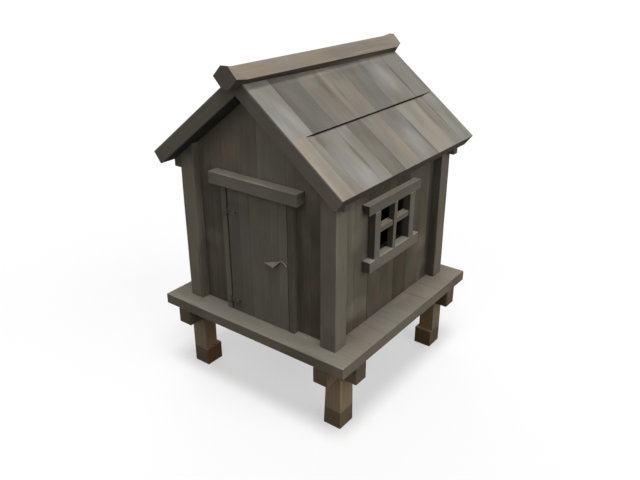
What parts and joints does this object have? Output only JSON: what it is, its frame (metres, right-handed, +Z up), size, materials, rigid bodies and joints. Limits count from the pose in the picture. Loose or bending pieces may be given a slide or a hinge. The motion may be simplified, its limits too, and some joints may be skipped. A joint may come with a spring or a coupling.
{
  "type": "wooden stilt house",
  "caption": "Small gabled timber house on stilts, with a plank deck, corner posts, a ridge log, a hinged plank door and a barred window opening.",
  "frame": {"origin": "on the ground, under the middle of the house", "axes": "+Z up; the door gable faces -Y, the window wall faces +X and the ridge runs along Y"},
  "size_m": [3.2, 3.61, 4.744],
  "materials": {
    "stilt_wood": "weathered sawn timber",
    "beam_wood": "weathered sawn timber",
    "deck_wood": "weathered sawn timber",
    "post_wood": "weathered sawn timber",
    "wall_wood": "weathered sawn timber",
    "roof_wood": "weathered sawn timber",
    "ridge_wood": "weathered sawn timber",
    "trim_wood": "weathered sawn timber",
    "hinge_iron": "rusty forged iron",
    "door_wood": "weathered sawn timber",
    "handle_wood": "weathered sawn timber"
  },
  "bodies": {
    "house": {"stilt_front_left": "stilt_wood", "stilt_front_right": "stilt_wood", "stilt_back_left": "stilt_wood", "stilt_back_right": "stilt_wood", "cross_beam_front": "beam_wood", "cross_beam_back": "beam_wood", "side_beam_left": "beam_wood", "side_beam_right": "beam_wood", "deck": "deck_wood", "post_front_left": "post_wood", "post_front_right": "post_wood", "post_back_left": "post_wood", "post_back_right": "post_wood", "front_wall_left": "wall_wood", "front_wall_right": "wall_wood", "front_gable": "wall_wood", "back_wall": "wall_wood", "left_wall": "wall_wood", "right_wall_front": "wall_wood", "right_wall_back": "wall_wood", "right_wall_below": "wall_wood", "right_wall_above": "wall_wood", "eave_block_front_left": "post_wood", "eave_block_front_right": "post_wood", "eave_block_back_left": "post_wood", "eave_block_back_right": "post_wood", "roof_left": "roof_wood", "roof_right": "roof_wood", "ridge_log": "ridge_wood", "door_lintel": "trim_wood", "door_jamb_left": "trim_wood", "door_jamb_right": "trim_wood", "hinge_pintle_lower": "hinge_iron", "hinge_pintle_upper": "hinge_iron", "window_head": "trim_wood", "window_sill": "trim_wood", "window_stile_front": "trim_wood", "window_stile_back": "trim_wood"},
    "door": {"door_leaf": "door_wood", "door_ledge_lower": "door_wood", "door_ledge_upper": "door_wood", "hinge_strap_lower": "hinge_iron", "hinge_strap_upper": "hinge_iron", "door_handle": "handle_wood"}
  },
  "joints": [
    {"name": "door_hinge", "type": "hinge", "parent": "house", "child": "door", "pos_m": [-0.521, -1.40208, 2.115], "axis": [0, 0, -1], "range_deg": [0, 110]}
  ]
}
